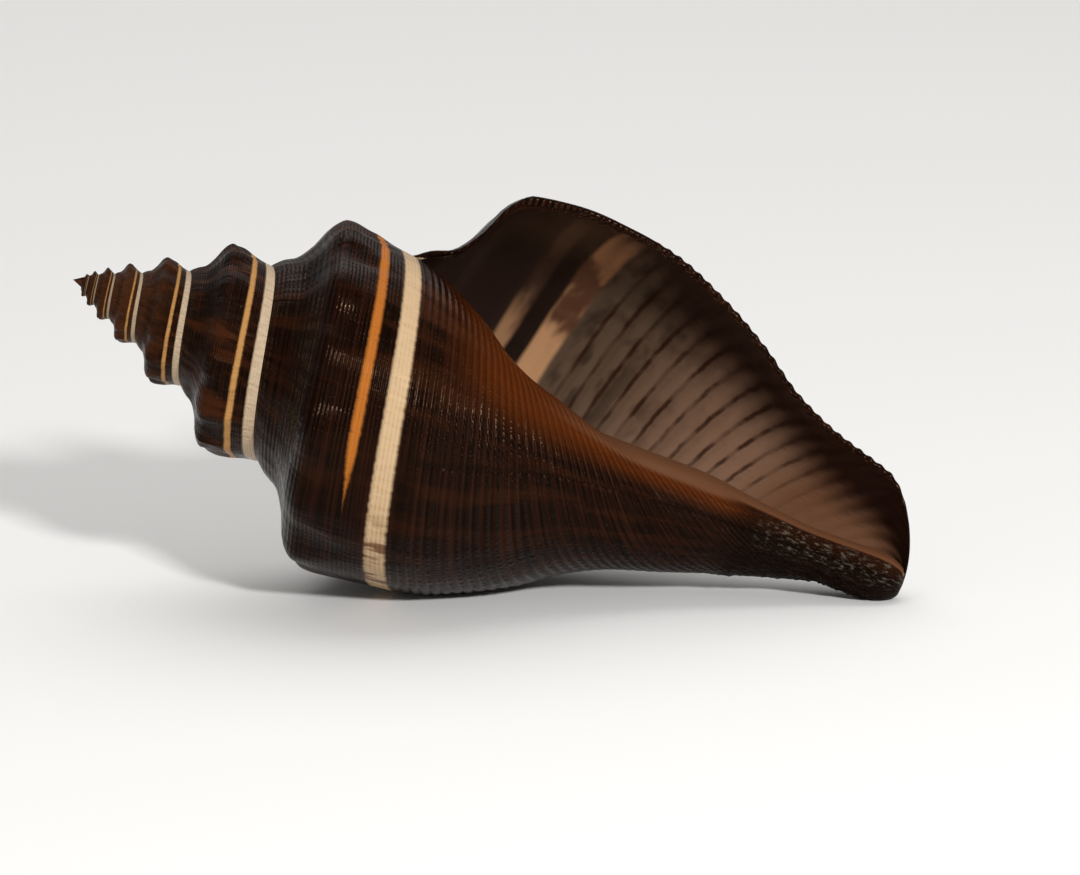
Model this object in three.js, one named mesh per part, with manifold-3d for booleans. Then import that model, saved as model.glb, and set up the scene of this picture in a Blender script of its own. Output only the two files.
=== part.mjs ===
// An empty whelk shell lying on its side: one piece that winds round a straight axis,
// each whorl the same shape as the one before it and WHORL_GROWTH times its size.
// Millimetres, +Z up. The shell rests on z = 0, its mouth faces -Y and its canal points to +X.
import * as THREE from "three";
import { mergeVertices } from "three/addons/utils/BufferGeometryUtils.js";
import Module from "manifold-3d";

const wasm = await Module();
wasm.setup();

// Driving dimensions, for the last whorl at the lip
const SHELL_LENGTH = 110; // from the point that the whorls shrink towards to the canal's end
const WHORL_GROWTH = 1.716;
const WHORLS = 5.6;
const APEX_RISE = 0.6; // how far the blunt apex stands past that point
const APEX_SWELL = 1; // share by which the first turns are wider than later growth would give
const APEX_LENGTH = 3; // length over which that dies away
const WALL = 1.7;
const LIP_EDGE = 1; // wall at the lip
const LIP_TAPER = 0.05; // whorls over which the wall thins towards the lip
const CANAL_WALL_SHARE = 0.45; // wall of the canal against the wall of the whorl
const FULL_WALL_RADIUS = 22; // radius from which the wall is full
const GLAZE = 0.3; // glaze laid over the whorl before, inside the mouth
const GLAZE_EDGE = 0.15; // and at the lip, where it thins out
const HOLLOW_WHORLS = 1.75; // how far the hollow runs in from the lip
const MOUTH_CLEAR = 0.025; // whorls that the cut for the hollow runs past the lip

// Knobs on the shoulder
const KNOBS_PER_WHORL = 13;
const KNOB_HEIGHT = 0.05; // share of the radius that a knob stands out on the spire
const KNOB_HEIGHT_AT_LIP = 0.015;
const KNOB_FADE = 0.9; // whorls over which the knobs sink towards the lip
const KNOB_LENGTH = 7; // half length of a knob along the axis

// Outer wall: [distance from the apex along the axis, radius], from suture to canal
const OUTLINE = [
  [38.2, 17.25],
  [40.3, 19.1],
  [43.1, 20.7],
  [45.6, 24.2],
  [47.6, 28.6],
  [50.0, 30.4],
  [56.0, 30.5],
  [64.0, 29.9],
  [69.7, 28.7],
  [77.1, 25.6],
  [83.4, 22.0],
  [89.6, 17.5],
  [95.8, 14.3],
  [104.5, 11.4],
  [114.5, 7.6],
  [124.4, 4.1],
  [132.0, 0.5],
  [140.0, 0],
];
const SHOULDER = 50;
// The lip pulls in at the shoulder and flares beside the canal: [place, half length, share]
const LIP_PULL = [47, 7, -0.055];
const LIP_FLARE = [104, 12, 0.08];
const LIP_SHAPE_WHORLS = 0.08;

// The pillar that the whorls wind round: [distance from the apex along the axis, radius]
const PILLAR = [
  [0, 4.7],
  [80, 4.7],
  [92, 3.3],
  [98, 2.8],
  [110, 3],
];
const PILLAR_FILLET = 0.9; // softness of the hollow between the whorl's base and the pillar
const FILLET_START = 6; // length below the suture over which that softness sets in
const CANAL_ROUND = 6.7; // length over which the canal's end is rounded off
const WALL_ROUNDING = 2; // power of that rounding, for the canal's wall
const PILLAR_ROUNDING = 3; // and for the pillar, which ends more bluntly
const CANAL_OPEN = 1; // how far the cut for the canal runs past its end
const FIRST_HOLLOW_PLACE = 2; // the hollow starts between the second and third place of OUTLINE

// How the shell lies
const AXIS_TURN = 1.5; // degrees that the canal's end points back
const AXIS_DIP = 20.25; // degrees that it points down
const MOUTH_LIFT = 12; // degrees that the mouth looks up
const REST_FLAT = 0.4; // depth worn flat where the shell rests

// Colour of the outside
const SHELL_COLOUR = 0x4a2f20;
const SHELL_ROUGHNESS = 0.4;

// Resolution
const STEPS_PER_WHORL = 52;
const BASE_STEPS = 20;
const BASE_SPREAD = 0.6; // how much closer the steps get towards the canal's end
const HOLLOW_STEPS_PER_WHORL = 36;
const HOLLOW_BASE_STEPS = 7;
const SEARCH_STEP = 0.1;

const SUTURE = OUTLINE[0][0];
const NEXT_SUTURE = SUTURE * WHORL_GROWTH;
const PLACES = OUTLINE.map((p) => p[0]).filter((along) => along < NEXT_SUTURE - 2);
const TURN = 2 * Math.PI;

// Smooth curve through [x, y] points that never overshoots them
function through(points, x) {
  const last = points.length - 1;
  if (x <= points[0][0]) return points[0][1];
  if (x >= points[last][0]) return points[last][1];
  const slope = (k) => (points[k + 1][1] - points[k][1]) / (points[k + 1][0] - points[k][0]);
  const tangent = (k) => {
    if (k === 0) return slope(0);
    if (k === last) return slope(last - 1);
    const [before, after] = [slope(k - 1), slope(k)];
    return before * after <= 0 ? 0 : (2 * before * after) / (before + after);
  };
  const i = points.findIndex((p) => p[0] >= x) - 1;
  const width = points[i + 1][0] - points[i][0];
  const f = (x - points[i][0]) / width;
  const g = 1 - f;
  const ends = points[i][1] * g * g * (1 + 2 * f) + points[i + 1][1] * f * f * (3 - 2 * f);
  return ends + width * f * g * (tangent(i) * g - tangent(i + 1) * f);
}

// Whorl 0 is the lip and -1 the place one turn before it
const sizeAt = (whorl) => WHORL_GROWTH ** whorl;
const bump = (x, [centre, half, height]) => height * Math.exp(-(((x - centre) / half) ** 2));
const larger = (a, b, soft) => (a + b + Math.hypot(a - b, soft)) / 2;

// What is left of a radius near the canal's end
function rounding(along, length, power) {
  const past = Math.max(0, (along - SHELL_LENGTH + CANAL_ROUND) / length);
  return Math.max(0, 1 - past ** power) ** (1 / power);
}

// Radius of the whorl itself, with the lip's own shape near whorl 0
function whorlRadius(along, whorl) {
  const place = along / sizeAt(whorl);
  const lip = Math.exp(Math.min(0, whorl) / LIP_SHAPE_WHORLS);
  const shape = 1 + lip * (bump(place, LIP_PULL) + bump(place, LIP_FLARE));
  const swell = 1 + APEX_SWELL * Math.exp(-along / APEX_LENGTH);
  return sizeAt(whorl) * through(OUTLINE, place) * shape * swell;
}

// Radius of the outer wall, joined below the suture to the pillar
function wallRadius(along, whorl) {
  const base = whorlRadius(along, whorl) * rounding(along, CANAL_ROUND, WALL_ROUNDING);
  const below = along / sizeAt(whorl) - NEXT_SUTURE;
  const joined = Math.min(1, Math.max(0, below / FILLET_START));
  const pillar = through(PILLAR, along) * rounding(along, CANAL_ROUND, PILLAR_ROUNDING);
  const soft = PILLAR_FILLET * rounding(along, CANAL_ROUND, PILLAR_ROUNDING);
  return larger(base, pillar * joined, soft * joined);
}

// A knob is a low fold across the shoulder that fades towards both sutures
function knob(along, whorl) {
  const towardsLip = Math.max(0, 1 + whorl / KNOB_FADE);
  const height = KNOB_HEIGHT + (KNOB_HEIGHT_AT_LIP - KNOB_HEIGHT) * towardsLip;
  const fold = 0.5 + 0.5 * Math.cos(TURN * KNOBS_PER_WHORL * whorl);
  return fold * bump(along / sizeAt(whorl), [SHOULDER, KNOB_LENGTH, height]);
}

// A point of the shell while its axis lies along +X, with the lip on top
function place(along, radius, whorl) {
  const angle = TURN * (0.25 - whorl);
  return [along, -radius * Math.cos(angle), radius * Math.sin(angle)];
}

function outerPoint(along, whorl) {
  return place(along, wallRadius(along, whorl) * (1 + knob(along, whorl)), whorl);
}

function solidOf(points, triangles) {
  const geometry = new THREE.BufferGeometry();
  geometry.setAttribute("position", new THREE.Float32BufferAttribute(points.flat(), 3));
  geometry.setIndex(triangles.flat());
  return asSolid(geometry);
}

function asSolid(geometry) {
  geometry.deleteAttribute("normal");
  geometry.deleteAttribute("uv");
  const merged = mergeVertices(geometry);
  const vertProperties = merged.attributes.position.array;
  const triVerts = new Uint32Array(merged.index.array);
  return new wasm.Manifold(new wasm.Mesh({ numProp: 3, vertProperties, triVerts }));
}

// The shell as if it were filled: each whorl from suture to suture, the last one down to the
// canal's end, and the flat face where it stops
function filledShell() {
  const points = [];
  const triangles = [];
  const add = (p) => points.push(p) - 1;
  const rows = Math.round(WHORLS * STEPS_PER_WHORL);
  const suture = PLACES.length;
  const grid = [];
  for (let j = 0; j <= rows; j++) {
    const whorl = (j - rows) / STEPS_PER_WHORL;
    const size = sizeAt(whorl);
    const before = grid[j - STEPS_PER_WHORL];
    const row = PLACES.map((along, i) =>
      i === 0 && before ? before[suture] : add(outerPoint(along * size, whorl)),
    );
    const from = NEXT_SUTURE * size;
    row.push(add(outerPoint(from, whorl)));
    for (let i = 1; i < BASE_STEPS && whorl >= -1; i++) {
      const f = i / BASE_STEPS;
      const share = f * (1 + BASE_SPREAD * (1 - f));
      row.push(add(outerPoint(from + (SHELL_LENGTH - from) * share, whorl)));
    }
    grid.push(row);
  }
  const apex = add([-APEX_RISE, 0, 0]);
  const tip = add([SHELL_LENGTH, 0, 0]);
  for (let j = 0; j < rows; j++) {
    const [a, b] = [grid[j], grid[j + 1]];
    const last = Math.min(a.length, b.length) - 1;
    for (let i = 0; i < last; i++) {
      triangles.push([a[i], b[i], b[i + 1]], [a[i], b[i + 1], a[i + 1]]);
    }
    if (last > suture) triangles.push([a[last], b[last], tip]);
    if (j < STEPS_PER_WHORL) triangles.push([apex, b[0], a[0]]);
  }
  for (let i = 0; i < suture; i++) triangles.push([apex, grid[0][i], grid[0][i + 1]]);
  const inner = grid[rows - STEPS_PER_WHORL].slice(suture + 1);
  const edge = [...grid[rows], tip, ...inner.reverse()];
  const flat = edge.map((v) => new THREE.Vector2(points[v][0], points[v][2]));
  for (const [p, q, r] of THREE.ShapeUtils.triangulateShape(flat, [])) {
    triangles.push([edge[p], edge[q], edge[r]]);
  }
  return solidOf(points, triangles);
}

// 0 at the lip, and close to 1 a little way in from it
const inFromLip = (whorl) => 1 - Math.exp(Math.min(0, whorl) / LIP_TAPER);

// Wall between the outside and the hollow
function wallThickness(along, whorl) {
  const inward = inFromLip(whorl);
  const full = LIP_EDGE + (WALL - LIP_EDGE) * inward;
  const radius = through(OUTLINE, along / sizeAt(whorl));
  const share = Math.min(1, radius / FULL_WALL_RADIUS);
  return sizeAt(whorl) * full * (CANAL_WALL_SHARE + (1 - CANAL_WALL_SHARE) * share);
}

// Outer and inner radius of the hollow, which lies between the wall and the whorl before it
function hollowSides(along, whorl) {
  const whorlItself = larger(whorlRadius(along, whorl), through(PILLAR, along), PILLAR_FILLET);
  const outer = whorlItself * rounding(along, CANAL_ROUND + CANAL_OPEN, WALL_ROUNDING);
  const glaze = GLAZE_EDGE + (GLAZE - GLAZE_EDGE) * inFromLip(whorl);
  return [outer - wallThickness(along, whorl), wallRadius(along, whorl - 1) + glaze];
}

// The hollow, a tube that widens to the mouth and runs out along the canal
function hollow() {
  const points = [];
  const triangles = [];
  const rows = Math.round((HOLLOW_WHORLS + MOUTH_CLEAR) * HOLLOW_STEPS_PER_WHORL);
  let around = 0;
  for (let j = 0; j <= rows; j++) {
    const whorl = MOUTH_CLEAR - j / HOLLOW_STEPS_PER_WHORL;
    const gap = (along) => hollowSides(along, whorl)[0] - hollowSides(along, whorl)[1];
    let top = SUTURE * sizeAt(whorl);
    while (gap(top) <= 0) top += SEARCH_STEP;
    let bottom = top;
    while (bottom < SHELL_LENGTH + CANAL_OPEN && gap(bottom + SEARCH_STEP) > 0) {
      bottom += SEARCH_STEP;
    }
    const turns = PLACES.slice(FIRST_HOLLOW_PLACE).map((along) => along * sizeAt(whorl));
    const from = NEXT_SUTURE * sizeAt(whorl);
    for (let i = 0; i < HOLLOW_BASE_STEPS; i++) {
      turns.push(from + (bottom - from) * Math.sin((TURN / 4) * (i / HOLLOW_BASE_STEPS)));
    }
    const ring = [
      [top, hollowSides(top, whorl)[1]],
      ...turns.map((along) => [along, hollowSides(along, whorl)[0]]),
      [bottom, hollowSides(bottom, whorl)[1]],
      ...turns.reverse().map((along) => [along, hollowSides(along, whorl)[1]]),
    ];
    around = ring.length;
    for (const [along, radius] of ring) points.push(place(along, radius, whorl));
  }
  for (let a = 0; a < rows * around; a++) {
    const b = (a + 1) % around ? a + 1 : a + 1 - around;
    triangles.push([a, b, b + around], [a, b + around, a + around]);
  }
  for (const first of [0, rows * around]) {
    const middle = new THREE.Vector3();
    for (let k = 0; k < around; k++) middle.add(new THREE.Vector3(...points[first + k]));
    const centre = points.push(middle.divideScalar(around).toArray()) - 1;
    for (let k = 0; k < around; k++) {
      const [a, b] = [first + k, first + ((k + 1) % around)];
      triangles.push(first ? [a, b, centre] : [b, a, centre]);
    }
  }
  return solidOf(points, triangles);
}

function geometryOf(solid) {
  const { vertProperties, triVerts } = solid.getMesh();
  const geometry = new THREE.BufferGeometry();
  geometry.setAttribute("position", new THREE.BufferAttribute(new Float32Array(vertProperties), 3));
  geometry.setIndex([...triVerts]);
  return geometry;
}

// Laid on its side, worn flat where it rests, and moved to stand on z = 0 round the origin
function shellAtRest() {
  const geometry = geometryOf(filledShell().subtract(hollow()));
  geometry.rotateZ(THREE.MathUtils.degToRad(AXIS_TURN));
  geometry.rotateY(THREE.MathUtils.degToRad(AXIS_DIP));
  geometry.rotateX(THREE.MathUtils.degToRad(-MOUTH_LIFT));
  geometry.computeBoundingBox();
  const box = geometry.boundingBox;
  const middle = box.getCenter(new THREE.Vector3());
  geometry.translate(-middle.x, -middle.y, -box.min.z - REST_FLAT);
  const below = new THREE.BoxGeometry(2 * SHELL_LENGTH, 2 * SHELL_LENGTH, 2 * REST_FLAT);
  below.translate(0, 0, -REST_FLAT);
  return geometryOf(asSolid(geometry).subtract(asSolid(below)));
}

const shellMaterial = new THREE.MeshStandardMaterial({
  color: SHELL_COLOUR,
  roughness: SHELL_ROUGHNESS,
  metalness: 0,
});
const shell = new THREE.Mesh(shellAtRest(), shellMaterial);
shell.name = "shell";

const part = new THREE.Group();
part.add(shell);
export default part;
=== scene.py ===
import math

import bpy
import numpy as np
from mathutils import Matrix, Vector


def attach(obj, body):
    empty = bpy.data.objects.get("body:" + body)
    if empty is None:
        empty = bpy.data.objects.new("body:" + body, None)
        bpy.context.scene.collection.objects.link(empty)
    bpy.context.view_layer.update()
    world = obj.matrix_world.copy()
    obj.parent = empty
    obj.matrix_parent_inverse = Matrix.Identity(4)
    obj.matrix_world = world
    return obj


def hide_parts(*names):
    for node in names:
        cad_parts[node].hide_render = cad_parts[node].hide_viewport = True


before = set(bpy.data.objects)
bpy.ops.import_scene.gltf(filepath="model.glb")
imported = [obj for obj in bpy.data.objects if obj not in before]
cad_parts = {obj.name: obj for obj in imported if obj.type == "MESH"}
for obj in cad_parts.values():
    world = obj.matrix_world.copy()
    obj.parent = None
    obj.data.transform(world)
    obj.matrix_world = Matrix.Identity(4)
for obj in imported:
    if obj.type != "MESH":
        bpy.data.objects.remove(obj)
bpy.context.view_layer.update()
print("frame loaded")


def hexColour(text, alpha=1.0):
    channels = [int(text[i:i + 2], 16) / 255 for i in (1, 3, 5)]
    linear = [c / 12.92 if c <= 0.04045 else ((c + 0.055) / 1.055) ** 2.4 for c in channels]
    return (*linear, alpha)


def addNode(tree, kind, inputs=None, **settings):
    node = tree.nodes.new("ShaderNode" + kind)
    for name, value in settings.items():
        setattr(node, name, value)
    for socket, value in (inputs or {}).items():
        if isinstance(value, bpy.types.NodeSocket):
            tree.links.new(value, node.inputs[socket])
        else:
            node.inputs[socket].default_value = value
    return node


# Growth law, in millimetres. Turn 0 is the lip and -1 one whorl before it; a place is a distance
# along the axis as it would be at the lip, so every whorl has its shoulder at the same place.
growth = {
    "length": 110.0,
    "factor": 1.716,
    "whorls": 7.0,
    "apexRise": 0.25,
    "apexSwell": 1.0,
    "apexLength": 3.0,
    "outline": [  # place and radius
        (38.2, 17.25), (40.3, 19.1), (43.1, 20.7), (45.6, 24.2), (47.6, 28.6), (50.0, 30.4),
        (56.0, 30.5), (64.0, 29.9), (69.7, 28.7), (77.1, 25.6), (83.4, 22.0), (89.6, 17.5),
        (95.8, 14.3), (104.5, 11.4), (114.5, 7.6), (124.4, 4.1), (132.0, 0.5), (140.0, 0.0),
    ],
    "pillar": [(0, 4.7), (80, 4.7), (92, 3.3), (98, 2.8), (110, 3.0)],
    "pillarFillet": 0.9,
    "filletStart": 6.0,
    "canalRound": 6.7,
    "lipPull": (47.0, 7.0, -0.055),  # place, reach and share of the radius
    "lipFlare": (104.0, 12.0, 0.08),
    "lipWhorls": 0.08,
    "pole": (-51.736, -1.096, 39.531),
    "turn": 1.5,
    "dip": 20.25,
    "lift": 12.0,
}
suture = growth["outline"][0][0]
nextSuture = suture * growth["factor"]
lie = (
    Matrix.Rotation(math.radians(-growth["lift"]), 3, "X")
    @ Matrix.Rotation(math.radians(growth["dip"]), 3, "Y")
    @ Matrix.Rotation(math.radians(growth["turn"]), 3, "Z")
)


# A smooth curve through the points that never swings past them
def through(points, x):
    px, py = np.array(points, float).T
    slope = np.diff(py) / np.diff(px)
    before, after = slope[:-1], slope[1:]
    both = np.where(before * after > 0, before + after, 1.0)
    middle = np.where(before * after > 0, 2 * before * after / both, 0.0)
    tangent = np.concatenate([slope[:1], middle, slope[-1:]])
    x = np.clip(x, px[0], px[-1])
    i = np.clip(np.searchsorted(px, x, "right") - 1, 0, len(px) - 2)
    width = px[i + 1] - px[i]
    f = (x - px[i]) / width
    g = 1 - f
    ends = py[i] * g * g * (1 + 2 * f) + py[i + 1] * f * f * (3 - 2 * f)
    return ends + width * f * g * (tangent[i] * g - tangent[i + 1] * f)


def sizeAt(turn):
    return growth["factor"] ** turn


def bump(x, spot):
    return spot[2] * np.exp(-(((x - spot[0]) / spot[1]) ** 2))


def step(x, low, high):
    f = np.clip((x - low) / (high - low), 0, 1)
    return f * f * (3 - 2 * f)


def larger(a, b, soft):
    return (a + b + np.hypot(a - b, soft)) / 2


def rounding(along, length, power):
    past = np.maximum(0, (along - growth["length"] + growth["canalRound"]) / length)
    return np.maximum(0, 1 - past ** power) ** (1 / power)


def whorlRadius(along, turn):
    place = along / sizeAt(turn)
    lip = np.exp(np.minimum(0, turn) / growth["lipWhorls"])
    shape = 1 + lip * (bump(place, growth["lipPull"]) + bump(place, growth["lipFlare"]))
    swell = 1 + growth["apexSwell"] * np.exp(-along / growth["apexLength"])
    return sizeAt(turn) * through(growth["outline"], place) * shape * swell


def wallRadius(along, turn):
    base = whorlRadius(along, turn) * rounding(along, growth["canalRound"], 2)
    joined = np.clip((along / sizeAt(turn) - nextSuture) / growth["filletStart"], 0, 1)
    pillar = through(growth["pillar"], along) * rounding(along, growth["canalRound"], 3)
    soft = growth["pillarFillet"] * rounding(along, growth["canalRound"], 3)
    return larger(base, pillar * joined, soft * joined)


# Uneven waves between -1 and 1 that don't line up with each other
def wander(x, y):
    return (
        np.sin(1.7 * x + 2.1 * np.sin(0.9 * y + 0.4))
        + np.sin(2.9 * y - 1.3 * np.sin(1.1 * x + 2.0))
        + np.sin(4.3 * x + 3.7 * y + 1.9 * np.sin(0.7 * x - 1.7 * y))
    ) / 3


# Knobs on the shoulder: heights are shares of the radius, and they grow up the spire
knobs = {
    "perWhorl": 13,
    "shoulder": 50.0,
    "reach": 7.0,
    "height": 0.05,
    "heightAtLip": 0.015,
    "lipWhorls": 0.9,
    "spireGain": 0.5,
    "spireTurns": (-1.2, -2.6),
    "sharpness": 1.2,
    "uneven": 0.25,
    "unevenWaves": (9, 0.3),
}


def knobRelief(place, turn):
    towardsLip = np.clip(1 + turn / knobs["lipWhorls"], 0, 1)
    height = knobs["height"] + (knobs["heightAtLip"] - knobs["height"]) * towardsLip
    height = height * (1 + knobs["spireGain"] * step(turn, *knobs["spireTurns"]))
    fold = (0.5 + 0.5 * np.cos(2 * math.pi * knobs["perWhorl"] * turn)) ** knobs["sharpness"]
    rate, start = knobs["unevenWaves"]
    uneven = 1 + knobs["uneven"] * wander(turn * rate, start)
    return fold * uneven * bump(place, (knobs["shoulder"], knobs["reach"], 1)) * height


# Wrinkles along the axis, strongest on the spire, and a faint swell all over
wrinkles = {
    "perWhorl": 29,
    "height": 0.02,
    "sway": (0.5, 41),
    "slant": (0.3, 0.25, 60),
    "sharpness": 2,
    "above": (62, 56),
    "spireTurns": (-0.5, -1.2),
    "lipShare": 0.35,
    "spireShare": 0.65,
    "swellHeight": 0.004,
    "swellWaves": (40, 0.05),
}


def wrinkleRelief(place, turn):
    sway, swayRate = wrinkles["sway"]
    slant, byPlace, byTurn = wrinkles["slant"]
    crease = turn * wrinkles["perWhorl"] + sway * np.sin(turn * swayRate)
    crease = crease + slant * np.sin(place * byPlace + turn * byTurn)
    crease = (0.5 + 0.5 * np.cos(2 * math.pi * crease)) ** wrinkles["sharpness"]
    onSpire = wrinkles["lipShare"] + wrinkles["spireShare"] * step(turn, *wrinkles["spireTurns"])
    return wrinkles["height"] * (crease * step(place, *wrinkles["above"]) * onSpire)


def swellRelief(place, turn):
    byTurn, byPlace = wrinkles["swellWaves"]
    return wrinkles["swellHeight"] * wander(turn * byTurn, place * byPlace)


# Cords round the base, in millimetres at the lip: from the suture to the canal's end, up to the glaze
baseCords = {
    "pitch": 1.55,
    "height": 0.2,
    "start": (-1, 4),
    "end": (-1, -6),
    "glazeTurn": -0.9,
    "glazeShift": 0.08,
    "glazeShiftAlong": (60, 74),
    "glazeFade": 0.06,
}


def cordRelief(along, turn):
    size = sizeAt(turn)
    place = along / size
    shift = baseCords["glazeShift"] * step(along, *baseCords["glazeShiftAlong"])
    glazedFrom = baseCords["glazeTurn"] + shift
    glazed = step(turn, glazedFrom, glazedFrom - baseCords["glazeFade"])
    start = [nextSuture + past for past in baseCords["start"]]
    end = [growth["length"] + past for past in baseCords["end"]]
    ribbed = step(place, *start) * (1 - glazed) * step(along, *end)
    cord = 0.5 + 0.5 * np.cos(2 * math.pi * place / baseCords["pitch"])
    return ribbed * cord * baseCords["height"] * size


# Scaly band by the canal: leaves of growth with a rough crust, in millimetres
scales = {
    "height": 0.3,
    "start": (86.0, 89.0),
    "end": (0, -4),
    "firstTurns": (-0.885, -0.855),
    "lastTurns": (-0.25, -0.4),
    "leavesPerWhorl": 17,
    "leafSway": (0.12, 1.3),
    "least": 0.6,
    "leafShare": 0.5,
    "crustShare": 0.55,
    "crustWaves": (55, 1.15),
}


def scaleRelief(along, turn):
    end = [growth["length"] + past for past in scales["end"]]
    scaly = step(along, *scales["start"])
    scaly = scaly * step(turn, *scales["firstTurns"]) * step(turn, *scales["lastTurns"])
    scaly = scaly * step(along, *end)
    sway, swayRate = scales["leafSway"]
    leaf = (turn * scales["leavesPerWhorl"] + sway * np.sin(along * swayRate)) % 1.0
    byTurn, byAlong = scales["crustWaves"]
    rough = wander(turn * byTurn, along * byAlong)
    crust = scales["least"] + scales["leafShare"] * leaf + scales["crustShare"] * rough
    return scaly * crust * scales["height"]


def outerRadius(along, turn):
    place = along / sizeAt(turn)
    radius = wallRadius(along, turn)
    for relief in (knobRelief, swellRelief, wrinkleRelief):
        radius = radius * (1 + relief(place, turn))
    return radius + cordRelief(along, turn) + scaleRelief(along, turn)


def inWorld(along, radius, turn):
    angle = 2 * math.pi * (0.25 - turn)
    points = np.stack([along, -radius * np.cos(angle), radius * np.sin(angle)], 1)
    turned = points @ np.array(lie).T + np.array(growth["pole"])
    return turned / 1000


# A grid whose shape function gives each point, and its turn and place for the growth map
def growGrid(name, columns, rows, shape):
    bpy.ops.object.select_all(action="DESELECT")
    bpy.ops.mesh.primitive_grid_add(x_subdivisions=columns, y_subdivisions=rows, size=2)
    piece = bpy.context.object
    piece.name = name
    mesh = piece.data
    flat = np.empty(len(mesh.vertices) * 3)
    mesh.vertices.foreach_get("co", flat)
    across, down = (flat.reshape(-1, 3)[:, :2].T + 1) / 2
    points, marks = shape(across, down)
    mesh.vertices.foreach_set("co", points.ravel())
    corners = np.empty(len(mesh.loops), int)
    mesh.loops.foreach_get("vertex_index", corners)
    mesh.uv_layers[0].name = "growth"
    mesh.uv_layers[0].uv.foreach_set("vector", marks[corners].ravel())
    mesh.update()
    return piece


def mergeSeams():
    bpy.ops.object.mode_set(mode="EDIT")
    bpy.ops.mesh.select_all(action="SELECT")
    bpy.ops.mesh.remove_doubles(threshold=2e-6)
    bpy.ops.mesh.select_all(action="DESELECT")
    bpy.ops.object.mode_set(mode="OBJECT")


def selectOpenEdges():
    bpy.ops.object.mode_set(mode="EDIT")
    bpy.ops.mesh.select_mode(type="EDGE")
    bpy.ops.mesh.select_all(action="DESELECT")
    bpy.ops.mesh.select_non_manifold(extend=False, use_wire=False, use_multi_face=False)


def closeOpenEdges():
    selectOpenEdges()
    bpy.ops.mesh.edge_face_add()
    bpy.ops.mesh.select_all(action="SELECT")
    bpy.ops.mesh.normals_make_consistent(inside=False)
    bpy.ops.object.mode_set(mode="OBJECT")


# Outer wall: the whorls from suture to suture, then the base of the last one down to the canal's end
wall = {
    "rowsPerWhorl": 140,
    "sideColumns": 40,
    "baseColumns": 240,
    "cordColumns": 0.78,
    "cordSpread": 0.38,
    "canalCrowding": 0.6,
    "lipRows": 4,
    "lipRound": 0.42,
    "lipShare": 0.45,
    "lipWave": 0.16,
    "lipWavePitch": 2.6,
    "leastRadius": 0.5,
}
nearly = 1e-6


def lipPoint(along, turn, late, grownFrom):
    radius = outerRadius(along, grownFrom)
    spare = radius - wallRadius(along, turn - 1)
    depth = np.minimum(wall["lipRound"], wall["lipShare"] * np.maximum(0, spare))
    quarter = late * math.pi / 2
    wave = 1 + wall["lipWave"] * np.cos(2 * math.pi * along / wall["lipWavePitch"])
    ahead = depth * wave * np.sin(quarter) / np.maximum(radius, wall["leastRadius"]) / (2 * math.pi)
    shown = np.where(late > 0, radius - depth * (1 - np.cos(quarter)), radius)
    return inWorld(along, shown, turn + np.where(late > 0, ahead, 0.0))


# Along the suture a whorl takes the points of the whorl before it, so that the seam closes
def sideShape(across, down):
    rows = round(growth["whorls"] * wall["rowsPerWhorl"])
    row = np.round(down * (rows + wall["lipRows"]))
    turn = np.minimum(row - rows, 0) / wall["rowsPerWhorl"]
    late = np.maximum(row - rows, 0) / wall["lipRows"]
    place = suture + (nextSuture - suture) * across
    joined = (across < nearly) & (turn - 1 >= -growth["whorls"] - nearly)
    late = np.where(joined, 0.0, late)
    points = lipPoint(place * sizeAt(turn), turn, late, np.where(joined, turn - 1, turn))
    return points, np.stack([turn, place], 1)


def baseShape(across, down):
    rows = wall["rowsPerWhorl"]
    row = np.round(down * (rows + wall["lipRows"]))
    turn = np.minimum(row - rows, 0) / rows
    late = np.maximum(row - rows, 0) / wall["lipRows"]
    start = nextSuture * sizeAt(turn)
    cordPart = wall["cordColumns"] + wall["cordSpread"] * turn
    corded = np.minimum(1, across / wall["cordColumns"])
    rest = np.maximum(0, (across - wall["cordColumns"]) / (1 - wall["cordColumns"]))
    rest = rest * (1 + wall["canalCrowding"] * (1 - rest))
    along = start + (growth["length"] - start) * (cordPart * corded + (1 - cordPart) * rest)
    return lipPoint(along, turn, late, turn), np.stack([turn, along / sizeAt(turn)], 1)


sideRows = round(growth["whorls"] * wall["rowsPerWhorl"]) + wall["lipRows"]
side = growGrid("side", wall["sideColumns"], sideRows, sideShape)
base = growGrid("base", wall["baseColumns"], wall["rowsPerWhorl"] + wall["lipRows"], baseShape)
bpy.ops.object.select_all(action="DESELECT")
side.select_set(True)
base.select_set(True)
bpy.context.view_layer.objects.active = side
bpy.ops.object.join()
shell = bpy.context.object
shell.name = "whelkShell"
shell.data.name = "whelkShell"
mergeSeams()
print("whorls wound", len(shell.data.vertices))

# The two open loops: the first turn closes on a blunt apex, the last one on a face at the lip
apexCap = {"reach": 0.012, "inset": 0.00012, "rise": 0.00042}
apex = Vector(inWorld(np.array([-growth["apexRise"]]), np.zeros(1), np.zeros(1))[0])
selectOpenEdges()
bpy.ops.object.mode_set(mode="OBJECT")
mesh = shell.data
for vertex in mesh.vertices:
    vertex.select = False
for edge in mesh.edges:
    if edge.select:
        ends = [mesh.vertices[index] for index in edge.vertices]
        edge.select = ((ends[0].co + ends[1].co) / 2 - apex).length < apexCap["reach"]
for edge in mesh.edges:
    if edge.select:
        for index in edge.vertices:
            mesh.vertices[index].select = True
bpy.ops.object.mode_set(mode="EDIT")
bpy.ops.mesh.edge_face_add()
bpy.ops.mesh.inset(thickness=apexCap["inset"], depth=apexCap["rise"])
bpy.ops.mesh.poke()
bpy.ops.mesh.select_all(action="DESELECT")
bpy.ops.object.mode_set(mode="OBJECT")
shell.data.vertices[len(shell.data.vertices) - 1].co = apex  # the point that poke adds
closeOpenEdges()
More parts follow.
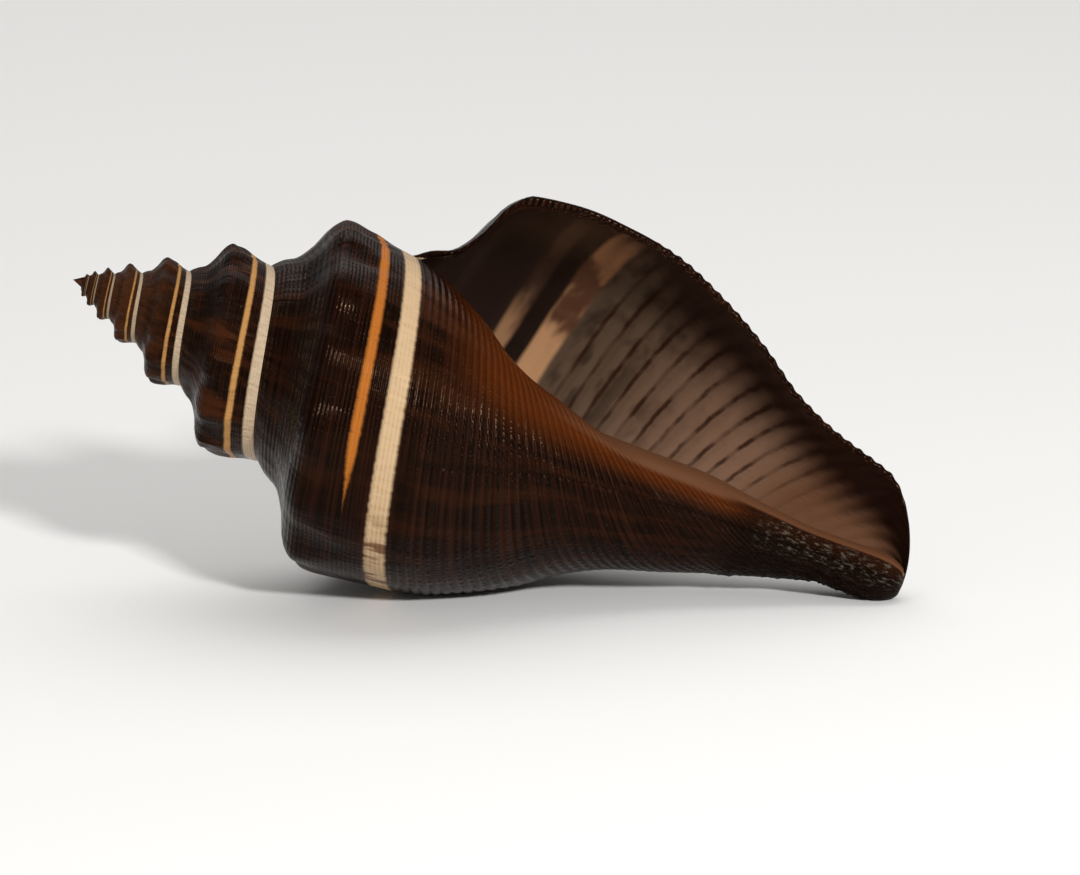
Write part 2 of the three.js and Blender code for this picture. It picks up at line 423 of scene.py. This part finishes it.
print("whorls closed", len(shell.data.polygons))

# The hollow between the wall and the whorl before it, which narrows into the canal
hollow = {
    "depth": 1.0,
    "past": 0.02,
    "rowsPerWhorl": 100,
    "sideColumns": 64,
    "evenShare": 0.35,
    "roundShare": 0.65,
    "samples": 1600,
    "wall": 1.7,
    "lipEdge": 0.85,
    "lipTaper": 0.05,
    "canalShare": 0.45,
    "fullRadius": 22.0,
    "glaze": 0.3,
    "glazeEdge": 0.05,
    "ridgePitch": 2.6,
    "ridgeHeight": 0.07,
    "ridgesStart": (44, 52),
    "ridgesEnd": (104, 96),
    "notchHeight": 0.2,
    "notchTurns": 0.02,
}
hollowTurns = hollow["depth"] + hollow["past"]
hollowRows = round(hollowTurns * hollow["rowsPerWhorl"])


def hollowSides(along, turn):
    size = sizeAt(turn)
    place = along / size
    inward = 1 - np.exp(np.minimum(0, turn) / hollow["lipTaper"])
    full = hollow["lipEdge"] + (hollow["wall"] - hollow["lipEdge"]) * inward
    share = np.minimum(1, through(growth["outline"], place) / hollow["fullRadius"])
    thick = size * full * (hollow["canalShare"] + (1 - hollow["canalShare"]) * share)
    outer = larger(whorlRadius(along, turn), through(growth["pillar"], along), growth["pillarFillet"])
    outer = outer * rounding(along, growth["canalRound"], 2)
    ridge = np.cos(2 * math.pi * place / hollow["ridgePitch"])
    ridge = ridge * step(place, *hollow["ridgesStart"]) * step(place, *hollow["ridgesEnd"])
    halfNotch = hollow["notchHeight"] / 2 * np.exp(np.minimum(0, turn) / hollow["notchTurns"])
    outer = outer - thick + ridge * (hollow["ridgeHeight"] + halfNotch) - halfNotch
    glaze = hollow["glazeEdge"] + (hollow["glaze"] - hollow["glazeEdge"]) * inward
    return outer, wallRadius(along, turn - 1) + glaze


# Where the two sides first part, and where they next meet
def hollowSpan(turn):
    along = np.linspace(suture * sizeAt(turn), growth["length"], hollow["samples"])
    outer, inner = hollowSides(along, np.full_like(along, turn))
    isOpen = outer > inner
    first = int(np.argmax(isOpen))
    shut = np.nonzero(~isOpen[first:])[0]
    last = first + (int(shut[0]) - 1 if len(shut) else len(along) - 1 - first)
    return along[first], along[last]


# The grid runs once round the hollow: out along the wall, then back along the pillar
def hollowShape(across, down):
    row = np.round(down * hollowRows).astype(int)
    turns = hollow["past"] - np.arange(hollowRows + 1) * hollowTurns / hollowRows
    spans = np.array([hollowSpan(t) for t in turns])
    turn = turns[row]
    sideways = np.round(across * 2 * hollow["sideColumns"]) / hollow["sideColumns"]
    onWall = sideways <= 1
    share = np.where(onWall, sideways, 2 - sideways)
    rounded = 0.5 - 0.5 * np.cos(math.pi * share)
    share = hollow["evenShare"] * share + hollow["roundShare"] * rounded
    along = spans[row, 0] + (spans[row, 1] - spans[row, 0]) * share
    outer, inner = hollowSides(along, turn)
    corner = (share < nearly) | (share > 1 - nearly)
    radius = np.where(onWall & ~corner, outer, inner)
    return inWorld(along, radius, turn), np.stack([turn, along / sizeAt(turn)], 1)


cutter = growGrid("hollow", 2 * hollow["sideColumns"], hollowRows, hollowShape)
column = np.arange(len(cutter.data.polygons)) % (2 * hollow["sideColumns"])
onPillar = (column >= hollow["sideColumns"]).astype(np.int32)
cutter.data.polygons.foreach_set("material_index", onPillar)
mergeSeams()
closeOpenEdges()
print("hollow wound", len(cutter.data.polygons))


# Colour and relief follow the shell's growth. A factor is a measure's name, or its name with a low
# and a high value that are taken smoothly to 0 and 1, or to the two last numbers where it has them.
def newFinish(name):
    finish = bpy.data.materials.new(name)
    finish.use_nodes = True
    finish.node_tree.nodes.clear()
    return finish


def growthMeasures(tree):
    marks = addNode(tree, "SeparateXYZ", {0: addNode(tree, "UVMap", uv_map="growth").outputs[0]})
    return {"turn": marks.outputs[0], "place": marks.outputs[1]}


def addGrains(tree, measures, grains):
    for name, grain in grains.items():
        spot = addNode(tree, "CombineXYZ", {0: measures["turn"], 1: measures[grain.get("down", "place")]})
        scale = (grain["perWhorl"], grain["perMm"], 0.0)
        scaled = addNode(tree, "VectorMath", {0: spot.outputs[0], 1: scale}, operation="MULTIPLY")
        rough = {"Detail": grain.get("detail", 2.0), "Roughness": grain.get("rough", 0.55)}
        noise = addNode(tree, "TexNoise", {"Vector": scaled.outputs[0], "Scale": 1.0, **rough})
        measures[name] = noise.outputs[0]


def ripple(tree, value, pitch):
    phase = addNode(tree, "Math", {0: value, 1: 2 * math.pi / pitch}, operation="MULTIPLY")
    return addNode(tree, "Math", {0: phase.outputs[0]}, operation="COSINE").outputs[0]


def product(tree, measures, factors, strength=1.0):
    share = strength
    for name, *span in factors:
        value = measures[name]
        if span:
            low, high, *ends = span
            start, end = ends or (0.0, 1.0)
            inputs = {0: value, 1: low, 2: high, 3: start, 4: end}
            value = addNode(tree, "MapRange", inputs, interpolation_type="SMOOTHSTEP").outputs[0]
        share = addNode(tree, "Math", {0: share, 1: value}, operation="MULTIPLY").outputs[0]
    return share


def total(tree, measures, terms):
    amount = 0.0
    for strength, *factors in terms:
        term = product(tree, measures, factors, strength)
        amount = addNode(tree, "Math", {0: amount, 1: term}, operation="ADD").outputs[0]
    return amount


def paint(tree, measures, look):
    colour = hexColour(look["colour"])
    for coat in look.get("coats", []):
        share = product(tree, measures, coat["where"], coat.get("strength", 1.0))
        over = paint(tree, measures, coat)
        colour = addNode(tree, "Mix", {0: share, 6: colour, 7: over}, data_type="RGBA").outputs[2]
    return colour


# Outside: shell lime under a dark brown, worn and glossy skin, with a cream and an orange line round
# every whorl. Growth lines are drawn about 1.1 mm wide on the last whorl, coarse enough to show.
outside = {
    "grains": {
        "spiralGrain": {"perWhorl": 4.0, "perMm": 1.7},
        "growthGrain": {"perWhorl": 170.0, "perMm": 0.14, "detail": 3.0},
        "streaks": {"perWhorl": 38.0, "perMm": 0.05},
        "bars": {"perWhorl": 80.0, "perMm": 0.12},
        "crustGrain": {"perWhorl": 60.0, "perMm": 0.9, "down": "along", "detail": 4.0, "rough": 0.65},
    },
    "sums": {
        "spiral": [(1.0, ("threads",), ("place", 70.0, 65.0)), (1.0, ("cords",), ("place", 65.0, 70.0))],
        "grooves": [(1.0, ("spiral", 0.4, -0.8))],
        "pillarEdge": [(1.0, ("turn",)), (1.0, ("along", 82.0, 92.0, 0.825, 0.868))],
        "callus": [(1.0, ("pillarEdge", 0.0, -0.03), ("along", 58.0, 74.0))],
        "unglazed": [(1.0,), (-1.0, ("callus",))],
        "fresh": [(1.0,), (-1.0, ("place", 65.0, 70.0), ("turn", -0.8, -0.95, 0.0, 0.6))],
        "beads": [(1.0, ("growthGrain", 0.4, 0.6, 0.45, 1.4), ("unglazed",), ("fresh",))],
        "scaly": [(1.0, ("along", 84.0, 90.0), ("turn", -0.89, -0.86), ("turn", -0.22, -0.36))],
        "pastScar": [(1.0, ("turn",)), (0.0008, ("place",)), (0.012, ("spiralGrain",)), (0.64,)],
        "scar": [(1.0, ("pastScar", 0.0, 0.006), ("pastScar", 0.012, 0.006), ("place", 66.0, 72.0))],
        "linePlace": [(1.0, ("place",)), (0.5, ("growthGrain",)), (-0.25,)],
        "pastOrange": [(1.0, ("linePlace",)), (-57.75,)],
    },
    "orangeRim": [(1.0, ("fromOrange",)), (-1.0, ("turn", -0.605, -0.71, -0.4, 0.9))],
    "colour": "#0b0402",
    "coats": [
        # reddish brown in the grooves; rusty streaks, with painted light from above making them stronger
        # towards the top of the last whorl and up the spire; and tan at its tip
        {"colour": "#261008", "where": [("spiralGrain", 0.4, 0.66), ("grooves", 0.0, 1.0, 0.55, 1.0)]},
        # partly painted light: real rusty streaks, faint low on the last whorl and lighter and stronger
        # on its top and the spire, where light falls from above
        {"colour": "#42200d", "where": [("streaks", 0.45, 0.7), ("turn", -0.7, -1.05, 0.2, 0.75)]},
        {"colour": "#5a341e", "where": [("along", 16.0, 4.0), ("growthGrain", 0.3, 0.6, 0.2, 0.8)]},
        # warm glaze beside the mouth, and the callus on the pillar
        {
            "colour": "#5e2b0b",
            "where": [
                ("turn", -0.745, -0.83), ("place", 68.0, 88.0),
                ("grooves", 0.0, 1.0, 0.65, 1.0), ("streaks", 0.35, 0.6, 1.0, 0.75),
            ],
        },
        {"colour": "#65422c", "where": [("callus",)], "strength": 0.9},
        # dark scales by the canal, with a grey crust
        {"colour": "#0b0402", "where": [("scaly",)], "strength": 0.8},
        {
            "colour": "#6f675a",
            "where": [
                ("scaly",), ("along", 88.0, 95.0), ("turn", -0.64, -0.76), ("crustGrain", 0.5, 0.7),
            ],
            "strength": 0.75,
        },
        # the two lines, paler on the spire, and brown bars across the cream one
        {
            "colour": "#ab6427",
            "coats": [{"colour": "#b98850", "where": [("turn", -0.9, -1.3)]}],
            "where": [("orangeRim", 0.4, -0.4), ("growthGrain", 0.25, 0.45, 0.55, 1.0)],
        },
        {
            "colour": "#c2a581",
            "coats": [
                {"colour": "#c4ad91", "where": [("turn", -0.9, -1.3)]},
                {"colour": "#b98850", "where": [("growthGrain", 0.5, 0.7)], "strength": 0.25},
                {
                    "colour": "#5a2c10",
                    "where": [("bars", 0.47, 0.6), ("turn", -0.645, -0.6)],
                    "strength": 0.8,
                },
            ],
            "where": [("linePlace", 61.85, 62.65), ("linePlace", 66.15, 65.35), ("turn", -0.03, -0.08)],
        },
        # a healed break across the base
        {"colour": "#0b0402", "where": [("scar",)], "strength": 0.6},
    ],
    "relief": [
        (1.0, ("growthGrain",), ("turn", -0.85, -1.2, 1.2, 2.6), ("unglazed",), ("fresh",)),
        (0.3, ("threads",), ("place", 70.0, 65.0), ("beads",)),
        (0.5, ("cords",), ("place", 65.0, 70.0), ("beads",)),
        (-0.8, ("scar",)),
        (3.0, ("scaly",), ("crustGrain",)),
    ],
    "reliefHeight": 0.0001,
    "gloss": [(1.0, ("growthGrain", 0.3, 0.7, 0.16, 0.27)), (0.2, ("scaly",))],
    "mirror": 0.075,
    "mirrorTint": "#ffd0ae",
}
shellOutside = newFinish("shellOutside")
tree = shellOutside.node_tree
measures = growthMeasures(tree)
size = addNode(tree, "Math", {0: growth["factor"], 1: measures["turn"]}, operation="POWER")
along = addNode(tree, "Math", {0: size.outputs[0], 1: measures["place"]}, operation="MULTIPLY")
measures["along"] = along.outputs[0]
measures["cords"] = ripple(tree, measures["place"], baseCords["pitch"])
measures["threads"] = ripple(tree, measures["place"], baseCords["pitch"] / 2)
addGrains(tree, measures, outside["grains"])
for name, terms in outside["sums"].items():
    measures[name] = total(tree, measures, terms)
fromOrange = addNode(tree, "Math", {0: measures["pastOrange"]}, operation="ABSOLUTE")
measures["fromOrange"] = fromOrange.outputs[0]
measures["orangeRim"] = total(tree, measures, outside["orangeRim"])
relief = addNode(
    tree,
    "Bump",
    {
        "Strength": 1.0,
        "Distance": outside["reliefHeight"],
        "Height": total(tree, measures, outside["relief"]),
    },
)
surface = addNode(
    tree,
    "BsdfPrincipled",
    {
        "Base Color": paint(tree, measures, outside),
        "Roughness": total(tree, measures, outside["gloss"]),
        "Specular IOR Level": outside["mirror"],
        "Specular Tint": hexColour(outside["mirrorTint"]),
        "Normal": relief.outputs[0],
    },
)
addNode(tree, "OutputMaterial", {0: surface.outputs[0]})

# Inside of the wall: porcelain-smooth grey and tan, with brown lines that run in from a dark lip
bandInside = {
    "colour": "#c9966c",
    "coats": [
        {"colour": "#63402d", "where": [("smudged", -0.1, -0.055)]},
        {"colour": "#b07a54", "where": [("smudged", -0.03, 0.01)]},
    ],
}
inside = {
    "grains": {
        "fine": {"perWhorl": 60.0, "perMm": 0.35},
        "broad": {"perWhorl": 14.0, "perMm": 0.09},
        "cloud": {"perWhorl": 26.0, "perMm": 0.3},
    },
    "sums": {
        "wavering": [(1.0, ("place",)), (1.2, ("broad",))],
        "smudged": [(1.0, ("turn",)), (0.12, ("cloud",))],
        "linePlace": [(1.0, ("place",)), (0.5, ("fine",))],
    },
    "lipReach": [
        (1.0, ("turn",)),
        (-0.007, ("rib",)),
        (0.03, ("broad",)),
        (1.0, ("place", 90.0, 108.0, 0.0, 0.035)),
        (1.0, ("place", 62.0, 76.0, -0.045, 0.0)),
    ],
    "colour": "#2a1c17",
    "coats": [
        # grey, paler and then tan towards the canal, with dark smudges
        {"colour": "#65503f", "where": [("place", 54.0, 70.0)]},
        {"colour": "#8a6852", "where": [("place", 70.0, 88.0)]},
        {"colour": "#6f4b34", "where": [("place", 92.0, 104.0)]},
        {"colour": "#2a1c17", "where": [("cloud", 0.45, 0.65), ("place", 92.0, 70.0)], "strength": 0.6},
        # a dark band, then a faint and a bright one where the outside has its lines
        {
            "colour": "#1e120e",
            "where": [("wavering", 58.4, 60.0), ("wavering", 63.6, 62.0)],
            "strength": 0.85,
        },
        {
            **bandInside,
            "where": [
                ("wavering", 56.6, 57.5), ("wavering", 59.8, 58.9), ("turn", -0.12, -0.16, 0.15, 0.6),
            ],
        },
        {**bandInside, "where": [("wavering", 61.8, 62.7), ("wavering", 66.6, 65.7)], "strength": 0.95},
        # brown lines in the furrows, and the dark lip
        {
            "colour": "#33190d",
            "where": [
                ("rib", -0.55, -1.0), ("place", 66.0, 69.0), ("place", 108.0, 92.0),
                ("turn", -0.3, -0.16), ("cloud", 0.35, 0.6, 0.35, 1.0),
            ],
            "strength": 0.9,
        },
        {"colour": "#22100a", "where": [("lipReach", -0.105, -0.012)]},
    ],
    "relief": [(1.2, ("rib",), ("place", 62.0, 68.0)), (1.0, ("fine",))],
    "reliefHeight": 0.00012,
    "reliefStrength": 0.5,
    "gloss": 0.34,
    "mirror": 0.3,
}
mouthWall = newFinish("mouthWall")
tree = mouthWall.node_tree
measures = growthMeasures(tree)
addGrains(tree, measures, inside["grains"])
for name, terms in inside["sums"].items():
    measures[name] = total(tree, measures, terms)
measures["rib"] = ripple(tree, measures["linePlace"], hollow["ridgePitch"])
measures["lipReach"] = total(tree, measures, inside["lipReach"])
relief = addNode(
    tree,
    "Bump",
    {
        "Strength": inside["reliefStrength"],
        "Distance": inside["reliefHeight"],
        "Height": total(tree, measures, inside["relief"]),
    },
)
surface = addNode(
    tree,
    "BsdfPrincipled",
    {
        "Base Color": paint(tree, measures, inside),
        "Roughness": inside["gloss"],
        "Specular IOR Level": inside["mirror"],
        "Normal": relief.outputs[0],
    },
)
addNode(tree, "OutputMaterial", {0: surface.outputs[0]})

# Glaze over the pillar and the whorl before, inside the mouth: smooth shell lime, a clouded tan brown
glaze = {
    "grains": {"cloud": {"perWhorl": 18.0, "perMm": 0.12}},
    "colour": "#65422c",
    "coats": [
        {"colour": "#54351f", "where": [("cloud", 0.35, 0.7)]},
        {"colour": "#5e2b0b", "where": [("place", 62.0, 48.0)]},
    ],
    "gloss": 0.3,
    "mirror": 0.3,
}
pillarGlaze = newFinish("pillarGlaze")
tree = pillarGlaze.node_tree
measures = growthMeasures(tree)
addGrains(tree, measures, glaze["grains"])
surface = addNode(
    tree,
    "BsdfPrincipled",
    {
        "Base Color": paint(tree, measures, glaze),
        "Roughness": glaze["gloss"],
        "Specular IOR Level": glaze["mirror"],
    },
)
addNode(tree, "OutputMaterial", {0: surface.outputs[0]})
print("materials mixed")

# The hollow is cut out, and the shell is worn level where it rests
shell.data.materials.append(shellOutside)
cutter.data.materials.append(mouthWall)
cutter.data.materials.append(pillarGlaze)
bpy.ops.object.select_all(action="DESELECT")
shell.select_set(True)
bpy.context.view_layer.objects.active = shell
cut = shell.modifiers.new("mouth", "BOOLEAN")
cut.operation = "DIFFERENCE"
cut.object = cutter
cut.solver = "EXACT"
cut.material_mode = "TRANSFER"
bpy.ops.object.modifier_apply(modifier=cut.name)
bpy.data.objects.remove(cutter)
bpy.ops.object.mode_set(mode="EDIT")
bpy.ops.mesh.select_all(action="SELECT")
bpy.ops.mesh.separate(type="LOOSE")
bpy.ops.object.mode_set(mode="OBJECT")
parts = sorted(bpy.context.selected_objects, key=lambda part: len(part.data.polygons))
shell = parts.pop()
for chip in parts:
    bpy.data.objects.remove(chip)
bpy.context.view_layer.objects.active = shell
heights = np.empty(len(shell.data.vertices) * 3)
shell.data.vertices.foreach_get("co", heights)
heights[2::3] = np.maximum(heights[2::3], 0.0)
shell.data.vertices.foreach_set("co", heights)
shell.data.update()
bpy.ops.object.shade_smooth_by_angle(angle=math.radians(40))
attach(shell, "root")
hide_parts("shell")
print("mouth cut", len(shell.data.polygons), [m.name for m in shell.data.materials])

# Pale floor, soft light and the photo's view
studio = {"floor": "#fbfaf8", "floorSize": 8.0, "floorGloss": 0.8, "sky": "#f4f3f1", "skyLight": 0.3}
floorLook = newFinish("paleFloor")
tree = floorLook.node_tree
floorInputs = {"Base Color": hexColour(studio["floor"]), "Roughness": studio["floorGloss"]}
surface = addNode(tree, "BsdfPrincipled", floorInputs)
addNode(tree, "OutputMaterial", {0: surface.outputs[0]})
bpy.ops.mesh.primitive_plane_add(size=studio["floorSize"])
floor = bpy.context.object
floor.name = "floor"
floor.data.materials.append(floorLook)

world = bpy.data.worlds.new("studio")
bpy.context.scene.world = world
world.use_nodes = True
world.node_tree.nodes.clear()
sky = addNode(world.node_tree, "Background", {0: hexColour(studio["sky"]), 1: studio["skyLight"]})
addNode(world.node_tree, "OutputWorld", {0: sky.outputs[0]})
lamps = {
    "key": {"place": (0.36, -0.77, 0.45), "size": 0.1, "power": 7.5},
    "above": {"place": (0.0, 0.6, 1.2), "size": 1.4, "power": 9.0},
}
lampAim = Vector((0, 0, 0.02))
for name, lamp in lamps.items():
    bpy.ops.object.light_add(type="AREA", location=lamp["place"])
    light = bpy.context.object
    light.name = name
    light.data.size = lamp["size"]
    light.data.energy = lamp["power"]
    light.rotation_euler = (lampAim - light.location).to_track_quat("-Z", "Y").to_euler()

lens = {"distance": 0.6595, "tilt": 12.0, "aim": (0.00614, -0.00515, 0.02039), "focal": 176.66}
away = Vector((0, -math.cos(math.radians(lens["tilt"])), math.sin(math.radians(lens["tilt"]))))
bpy.ops.object.camera_add(location=Vector(lens["aim"]) + away * lens["distance"])
camera = bpy.context.object
camera.rotation_euler = (-away).to_track_quat("-Z", "Y").to_euler()
camera.data.sensor_width = 36.0
camera.data.lens = lens["focal"]
camera.data.clip_start = 0.01
bpy.context.scene.camera = camera
bpy.context.scene.view_settings.view_transform = "Standard"
print("stage set")
